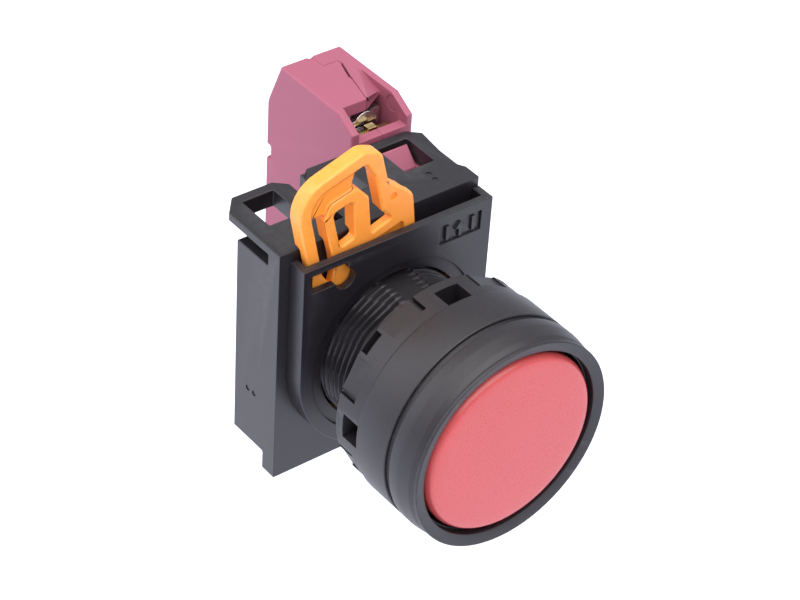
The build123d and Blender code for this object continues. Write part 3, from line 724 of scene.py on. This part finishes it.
@dataclass(frozen=True)
class Easing:
    """How the edges of a CAD copy are rounded."""

    width: float
    segments: int = 3
    angle: float = 28.0
    shortest: float = 2.2
    side: float | None = None
    side_width: float = 0.0
    sharp_at: Triple | None = None
    clamped: bool = False

    def reach(self, edge: bmesh.types.BMEdge) -> float:
        """Rounding of one edge.

        An edge is rounded where its faces turn by more than the angle and it is longer than
        shortest times the width. Edges in the outer side get the side's own width. None is
        rounded within the radius of the point (X, Z, radius) that stays sharp.

        Args:
            edge: edge of the copy, in metres.

        Returns:
            How far the rounding reaches, in millimetres, or 0.
        """
        if len(edge.link_faces) != 2 or edge.calc_face_angle(0.0) < math.radians(self.angle):
            return 0.0
        ends = np.array([v.co for v in edge.verts]) / MM
        if self.sharp_at:
            x, z, radius = self.sharp_at
            if np.hypot(*(ends.mean(0)[[0, 2]] - (x, z))) < radius:
                return 0.0
        if self.side is not None and np.abs(ends[:, 0] - self.side).max() < 0.01:
            return self.side_width
        return self.width if np.linalg.norm(ends[1] - ends[0]) > self.shortest * self.width else 0.0


def eased_copy(node: str, easing: Easing) -> bpy.types.Object:
    """Copy of a CAD node with merged points, joined flat faces and rounded edges.

    Each edge carries its share of the widest rounding; the ones left as they are stay sharp.

    Args:
        node: CAD node to copy.
        easing: which edges are rounded, and how much.

    Returns:
        The linked object, with a live Bevel modifier.
    """
    shell = bmesh.new()
    shell.from_mesh(frame["nodes"][node].data)
    bmesh.ops.remove_doubles(shell, verts=shell.verts, dist=CAD_POINT)
    bmesh.ops.dissolve_limit(shell, angle_limit=math.radians(FLAT),
                             verts=shell.verts, edges=shell.edges)
    widest = max(easing.width, easing.side_width)
    share = shell.edges.layers.float.new("bevel_weight_edge")
    for edge in shell.edges:
        edge[share] = easing.reach(edge) / widest
        edge.smooth = edge[share] > 0 or edge.calc_face_angle(0.0) < math.radians(easing.angle)
    mesh = bpy.data.meshes.new(f"{node}_eased")
    shell.to_mesh(mesh)
    shell.free()
    for leftover in ("custom_normal", "sharp_face"):
        if leftover in mesh.attributes:
            mesh.attributes.remove(mesh.attributes[leftover])
    made = bpy.data.objects.new(f"{node}_eased", mesh)
    bpy.context.scene.collection.objects.link(made)
    bevel = made.modifiers.new("rounded edges", "BEVEL")
    bevel.width = widest * MM
    bevel.segments = easing.segments
    bevel.limit_method = "WEIGHT"
    bevel.use_clamp_overlap = easing.clamped
    bevel.miter_outer = "MITER_ARC"
    bevel.harden_normals = True
    return made


# ---------------------------------------------------------------- sub-assemblies


@dataclass
class Operator:
    """Head of the button: bezel, threaded body, cap with its seal, stem, foot and lock ring.

    Pairs of radii run outwards and pairs of depths run back from the front. An outline's rows are
    (radius, depth, rounding of the corner).
    """

    columns: int = 256                  # points round the large pieces
    # Bezel
    bezel_front: float = -11.85
    bezel_split: float = -6.65          # where the front shell meets the body
    bezel_radius: float = 15.5
    lip: Span = (13.57, 15.1)
    waist: float = 14.85                # radius just behind the lip
    shoulder: float = -8.4              # depth where the skirt begins
    skirt_bore: float = 14.3
    ledge: float = -10.15               # back of the lip
    # Body
    cup: Span = (13.4, 14.25)
    cup_depths: Span = (-10.1, -1.6)
    groove: Span = (15.0, -5.85)        # radius of its floor and depth of its rear edge
    gasket_slot: Span = (12.0, 13.6)
    gasket_floor: float = -0.8
    bore: float = 9.4
    stem_guide: float = 7.07
    spring_seat: Span = (12.0, 13.5)    # front and back of the web inside the sleeve
    sleeve_end: float = 19.4
    # Thread, from its root to its crest
    thread: Span = (10.4, 11.0)
    thread_span: Span = (1.0, 19.0)
    thread_pitch: float = 1.0
    thread_rows: int = 196
    thread_fade: float = 0.6            # length over which it starts and ends
    root_share: float = 0.14            # of the pitch, half the width of the flat root
    flank_share: float = 0.24
    key_half: float = 2.65
    key_floor: float = 10.3             # height of the keyway's floor above the axis
    key_start: float = 0.5
    # Cap
    cap_radius: float = 12.95
    cap_face: float = -12.0
    crown: float = 0.26                 # fall of the face towards the rim
    crown_radius: float = 11.5
    seal_groove: float = 12.45
    seal_groove_depths: Span = (-7.9, -6.9)
    cap_bore: float = 11.5
    cap_inside: Span = (-9.4, -6.0)
    boss: Span = (2.55, 4.2)
    boss_end: float = -7.45
    # Stem
    peg: float = 2.5
    peg_ends: Span = (-9.35, 19.6)
    flange: float = 10.8
    flange_depths: Span = (-7.4, -6.2)
    tube: Span = (5.4, 7.0)
    tube_wall: Span = (16.5, 17.9)      # the wall that closes its rear end
    ring: Easing = Easing(0.12, clamped=True)

    def bezel_ring(self) -> bpy.types.Object:
        """Front shell: flat lip, a fine waist behind it, a rounded shoulder and a skirt."""
        inner, outer = self.lip
        front, split = self.bezel_front, self.bezel_split
        waist, radius = self.waist, self.bezel_radius
        return lathe("bezel_ring_skin", (
            (inner, front + 0.45, 0.14), (outer, front, 0.12), (outer + 0.05, front + 0.5, 0.1),
            (waist, front + 0.8, 0.06), (waist + 0.35, front + 1.5, 0.9),
            (radius, self.shoulder, 3.0), (radius, split, 0.3), (self.skirt_bore, split, CRISP),
            (self.skirt_bore, self.ledge, CRISP), (inner, self.ledge, CRISP),
        ), self.columns)

    def cup_outline(self) -> np.ndarray:
        """Outline of the body from the web inside its sleeve round the cup to the panel seat."""
        front, floor = self.cup_depths
        inner, outer = self.cup
        seat, web = self.spring_seat
        groove, rear = self.groove
        radius, split = self.bezel_radius, self.bezel_split
        slot_inner, slot_outer = self.gasket_slot
        return rounded_outline(np.array([
            (self.bore, web, CRISP), (self.stem_guide, web, CRISP),
            (self.stem_guide, seat, CRISP), (self.bore, seat, CRISP),
            (self.bore, floor, 0.2), (inner, floor, 0.3), (inner, front, CRISP),
            (outer, front, CRISP), (outer, split, CRISP), (groove, split, CRISP),
            (groove, rear, 0.1), (radius, rear, 0.16), (radius, 0.0, 0.2),
            (slot_outer, 0.0, CRISP), (slot_outer, self.gasket_floor, CRISP),
            (slot_inner, self.gasket_floor, CRISP), (slot_inner, 0.0, CRISP),
        ]))

    def thread_radius(self, depth: np.ndarray, angles: np.ndarray) -> np.ndarray:
        """Radius of the sleeve over depth and angle.

        It is the root plus the thread's height times an eased trapezium wave of
        (depth - angle / full turn x pitch) / pitch, faded in at both ends. Inside the keyway it
        is no more than the key's floor divided by the cosine of the angle.

        Args:
            depth: (rows,) depths.
            angles: (columns,) angles from the top.

        Returns:
            (rows, columns) radii.
        """
        root, crest = self.thread
        start, stop = self.thread_span
        pitch = self.thread_pitch
        wave = (depth[:, None] - angles[None, :] / (2 * np.pi) * pitch) / pitch
        height = np.clip((np.abs(wave % 1.0 - 0.5) - self.root_share) / self.flank_share, 0, 1)
        height = height * height * (3 - 2 * height)
        fade_in = np.clip((depth - start) / self.thread_fade, 0, 1)
        fade_out = np.clip((stop - depth) / self.thread_fade, 0, 1)
        radius = root + (crest - root) * height * (fade_in * fade_out)[:, None]
        turn = (angles + np.pi) % (2 * np.pi) - np.pi
        in_key = (np.abs(turn) < self.key_angle())[None, :] & (depth > self.key_start)[:, None]
        return np.where(in_key, np.minimum(radius, self.key_floor / np.cos(turn)[None, :]), radius)

    def key_angle(self) -> float:
        """Angle from the top to the keyway's side."""
        return math.asin(self.key_half / self.thread[0])

    def threaded_body(self) -> bpy.types.Object:
        """Cup and sleeve with a true helical thread and a keyway along the top.

        The columns are evenly spaced, with one more on each side of both keyway walls.
        """
        key, beside = self.key_angle(), 0.002
        walls = np.array([key - beside, key + beside, -key + beside, -key - beside]) % (2 * np.pi)
        angles = np.sort(np.concatenate([ring_angles(self.columns), walls]))
        root = self.thread[0]
        front = self.cup_outline()
        depth = np.linspace(0.0, self.sleeve_end, self.thread_rows)
        sleeve = np.stack([np.full_like(depth, root), depth], -1)
        end = np.array([(root - 0.25, self.sleeve_end), (self.bore, self.sleeve_end)])
        outline = np.concatenate([front, sleeve, end])
        grid = np.repeat(outline[:, None], len(angles), 1)
        grid[len(front):len(front) + len(depth), :, 0] = self.thread_radius(depth, angles)
        return mesh_object("operator_body_skin", turned(grid, angles),
                           wrapped_quads(len(outline), len(angles)), smooth_below=50.0)

    def cap(self) -> bpy.types.Object:
        """Red cap: a slightly crowned face, a soft rim, a groove for the seal and a hollow back.

        The crown's depth grows as the square of the radius.
        """
        rim, face = self.cap_radius, self.cap_face
        groove, (groove_front, groove_back) = self.seal_groove, self.seal_groove_depths
        inside, end = self.cap_inside
        peg_bore, boss = self.boss
        crown = [(r, face + self.crown * (r / rim) ** 2, 0.0)
                 for r in np.linspace(0, self.crown_radius, 12)]
        return lathe("button_cap_skin", (
            *crown, (12.5, face + 0.34, 0.7), (rim, face + 1.3, 0.5),
            (rim, groove_front, CRISP), (groove, groove_front, 0.02),
            (groove, groove_back, 0.02), (rim, groove_back, CRISP),
            (rim, end, CRISP), (self.cap_bore, end, CRISP), (self.cap_bore, inside, 0.3),
            (boss, inside, 0.1), (boss, self.boss_end, CRISP),
            (peg_bore, self.boss_end, CRISP), (peg_bore, inside, CRISP), (0.0, inside, 0.0),
        ), self.columns)

    def stem(self) -> bpy.types.Object:
        """Hollow stem with its flange and the pegs that the cap and foot press on to."""
        first, last = self.peg_ends
        flange_front, flange_back = self.flange_depths
        hollow, tube = self.tube
        wall, end = self.tube_wall
        return lathe("actuator_stem_skin", (
            (0.0, first, 0.0), (self.peg, first, 0.3), (self.peg, flange_front, 0.1),
            (self.flange, flange_front, 0.15), (self.flange, flange_back, 0.15),
            (tube, flange_back, 0.3), (tube, end, 0.3), (self.peg, end, 0.1),
            (self.peg, last, 0.3), (0.0, last, 0.0), (0.0, wall, 0.0), (hollow, wall, 0.3),
            (hollow, flange_back, 0.1), (0.0, flange_back, 0.0),
        ))

    def build(self, dresser: Dresser) -> None:
        """Build and dress every piece of the operator."""
        dress = dresser.dress
        dress(self.bezel_ring(), "bezel_ring", "black_satin_plastic")
        dress(self.threaded_body(), "operator_body", "black_satin_plastic")
        dress(self.cap(), "button_cap", "red_plastic")
        seal = flat_ring("cap_seal_skin", radii=(12.5, 13.35), depths=(-7.8, -7.0),
                         roundings=(0.15, 0.3, 0.3, 0.15))
        dress(seal, "cap_seal", "black_rubber")
        gasket = flat_ring("panel_gasket_skin", radii=(12.05, 13.55), depths=(-0.75, 0.0),
                           roundings=(0.1, 0.1, 0.25, 0.25))
        dress(gasket, "panel_gasket", "black_rubber")
        dress(self.stem(), "actuator_stem", "grey_plastic")
        foot = flat_ring("pusher_foot_skin", radii=(2.55, 9.1), depths=(18.0, 20.0),
                         roundings=(0.1, 0.35, 0.35, 0.1))
        dress(foot, "pusher_foot", "grey_plastic")
        spring = wire_spring("return_spring_skin", wire=0.4, radius=8.2,
                             ends=(-5.75, 11.55), turns=9)
        dress(spring, "return_spring", "spring_steel")
        dresser.shorten(spring, seat=11.95, length=18.1)
        dress(eased_copy("lock_ring", self.ring), "lock_ring", "black_satin_plastic")


@dataclass
class MountingAdaptor:
    """Adaptor behind the panel, its front frame and the orange locking lever."""

    body: Easing = Easing(0.16)
    cover: Easing = Easing(0.10)
    lever: Easing = Easing(0.34, segments=4, angle=50.0, shortest=0.0, sharp_at=(-0.5, 23.0, 0.7))

    def build(self, dresser: Dresser) -> None:
        """Build and dress every piece of the adaptor."""
        for node, easing, slot in (("adaptor_body", self.body, "black_plastic"),
                                   ("front_frame", self.cover, "black_plastic"),
                                   ("locking_lever", self.lever, "orange_plastic")):
            dresser.dress(eased_copy(node, easing), node, slot)


@dataclass
class ContactBlock:
    """Two-part housing of the contact block with its contacts, terminals and screws."""

    seam: float = 9.85                  # X of the plane between the halves
    sides: tuple = (("left", 4.8), ("right", 14.9))
    side_width: float = 0.45            # rounding round the outer faces
    housing_width: float = 0.15
    plunger: Easing = Easing(0.12)
    metal: Easing = Easing(0.08)

    SLOTS = {
        "contact_bridge": "brass", "bridge_contacts": "silver_contact",
        "fixed_contacts": "silver_contact", "upper_terminal": "brass", "lower_terminal": "brass",
        "upper_clamp": "plated_steel", "lower_clamp": "plated_steel",
        "upper_screw": "plated_steel", "lower_screw": "plated_steel",
    }

    def build(self, dresser: Dresser) -> None:
        """Build and dress every piece of the contact block."""
        for side, outer in self.sides:
            node = f"block_housing_{side}"
            easing = Easing(self.housing_width, side=outer, side_width=self.side_width)
            dresser.dress(eased_copy(node, easing), node, "magenta_plastic")
        plunger = eased_copy("contact_plunger", self.plunger)
        dresser.dress(plunger, "contact_plunger", "grey_plastic")
        for node, slot in self.SLOTS.items():
            dresser.dress(eased_copy(node, self.metal), node, slot)
        axis = (self.seam, 0.0)
        bridge_spring = wire_spring("bridge_spring_skin", wire=0.18, radius=1.3,
                                    ends=(35.44, 39.76), turns=5, centre=axis)
        dresser.dress(bridge_spring, "bridge_spring", "spring_steel")
        plunger_spring = wire_spring("plunger_spring_skin", wire=0.22, radius=2.1,
                                     ends=(41.28, 46.97), turns=4, centre=axis)
        dresser.dress(plunger_spring, "plunger_spring", "spring_steel")
        dresser.shorten(plunger_spring, seat=47.19, length=6.13)


def bearing(azimuth: float, elevation: float) -> Vector:
    """Unit vector from the part towards an azimuth from the front and an elevation, in degrees."""
    azimuth, elevation = np.radians([azimuth, elevation])
    return Vector((math.sin(azimuth) * math.cos(elevation),
                   -math.cos(azimuth) * math.cos(elevation), math.sin(elevation)))


@dataclass(frozen=True)
class Softbox:
    """Square area light aimed at the middle of the part, with sizes in metres."""

    name: str
    azimuth: float
    elevation: float
    distance: float
    size: float
    watts: float
    tint: Colour

    def build(self) -> None:
        """Add the light."""
        lamp = bpy.data.lights.new(self.name, "AREA")
        lamp.energy, lamp.size, lamp.color = self.watts, self.size, self.tint
        made = bpy.data.objects.new(self.name, lamp)
        bpy.context.scene.collection.objects.link(made)
        back = bearing(self.azimuth, self.elevation)
        middle = (CAD_BOX[0] + CAD_BOX[1]) / 2
        turn = back.to_track_quat("Z", "Y").to_matrix().to_4x4()
        made.matrix_world = Matrix.Translation(middle + back * self.distance) @ turn


@dataclass
class Studio:
    """Pale floor, soft light and the camera, with sizes in metres and angles in degrees."""

    azimuth: float = -39.887
    elevation: float = 37.651
    roll: float = 3.868
    camera_place: Triple = (-0.165508, -0.186230, 0.206783)
    lens: float = 114.66                # millimetres on the sensor's width
    sensor: float = 36.0
    clip: Span = (0.01, 20.0)
    floor_drop: float = 0.06
    floor_half: float = 2.5
    floor_cells: int = 32
    flat_radius: float = 1.2            # the floor rises beyond it
    floor_rise: float = 0.25
    floor_colour: Colour = (0.86, 0.88, 1.0)
    floor_roughness: float = 0.95
    world_colour: Colour = (0.95, 0.97, 1.0)
    world_strength: float = 0.7
    softboxes: tuple[Softbox, ...] = (
        Softbox("key", -20.0, 74.0, 0.96, 1.3, 16.3, (1.0, 0.98, 0.97)),
        Softbox("left rear", -136.0, 30.0, 0.9, 0.8, 4.0, (0.98, 0.97, 1.0)),
    )

    def floor(self) -> None:
        """Square sheet well below the part, level in the middle.

        Beyond the flat radius its height grows with the square of the distance.
        """
        cells, row_length = self.floor_cells, self.floor_cells + 1
        span = np.linspace(-1.0, 1.0, row_length) * self.floor_half
        x, y = np.meshgrid(span, span, indexing="ij")
        low = CAD_BOX[0].z - self.floor_drop
        rise = np.clip(np.hypot(x, y) - self.flat_radius, 0, None) ** 2 * self.floor_rise
        points = np.stack([x, y, low + rise], -1) / MM
        row, column = np.meshgrid(np.arange(cells), np.arange(cells), indexing="ij")
        first = (row * row_length + column).ravel()
        faces = np.stack([first, first + row_length, first + row_length + 1, first + 1], -1)
        sheet = mesh_object("floor", points, faces)
        material = bpy.data.materials.new("pale paper")
        material.use_nodes = True
        shader = material.node_tree.nodes["Principled BSDF"]
        shader.inputs["Base Color"].default_value = (*self.floor_colour, 1.0)
        shader.inputs["Roughness"].default_value = self.floor_roughness
        shader.inputs["Specular IOR Level"].default_value = 0.0
        sheet.data.materials.append(material)

    def camera(self) -> None:
        """Camera whose axes come from its azimuth, elevation and roll."""
        back = bearing(self.azimuth, self.elevation)
        roll = math.radians(self.roll)
        level = Vector((0, 0, 1)).cross(back).normalized()
        upright = back.cross(level)
        across = level * math.cos(roll) + upright * math.sin(roll)
        up = upright * math.cos(roll) - level * math.sin(roll)
        axes = Matrix((across, up, back)).transposed().to_4x4()
        lens = bpy.data.cameras.new("camera")
        lens.lens, lens.sensor_width = self.lens, self.sensor
        lens.clip_start, lens.clip_end = self.clip
        made = bpy.data.objects.new("camera", lens)
        bpy.context.scene.collection.objects.link(made)
        made.matrix_world = Matrix.Translation(self.camera_place) @ axes
        bpy.context.scene.camera = made

    def build(self) -> None:
        """Set up the whole studio."""
        scene = bpy.context.scene
        scene.view_settings.view_transform = "Standard"
        world = bpy.data.worlds.new("studio")
        world.use_nodes = True
        background = world.node_tree.nodes["Background"]
        background.inputs["Color"].default_value = (*self.world_colour, 1.0)
        background.inputs["Strength"].default_value = self.world_strength
        scene.world = world
        self.floor()
        for softbox in self.softboxes:
            softbox.build()
        self.camera()


def main() -> None:
    """Build the studio and each sub-assembly in order."""
    logging.basicConfig(level=logging.INFO, format="%(name)s %(message)s")
    Studio().build()
    dresser = Dresser()
    for part in (Operator(), MountingAdaptor(), ContactBlock()):
        part.build(dresser)
        log.info("%s finished", type(part).__name__)


if __name__ == "__main__":
    main()
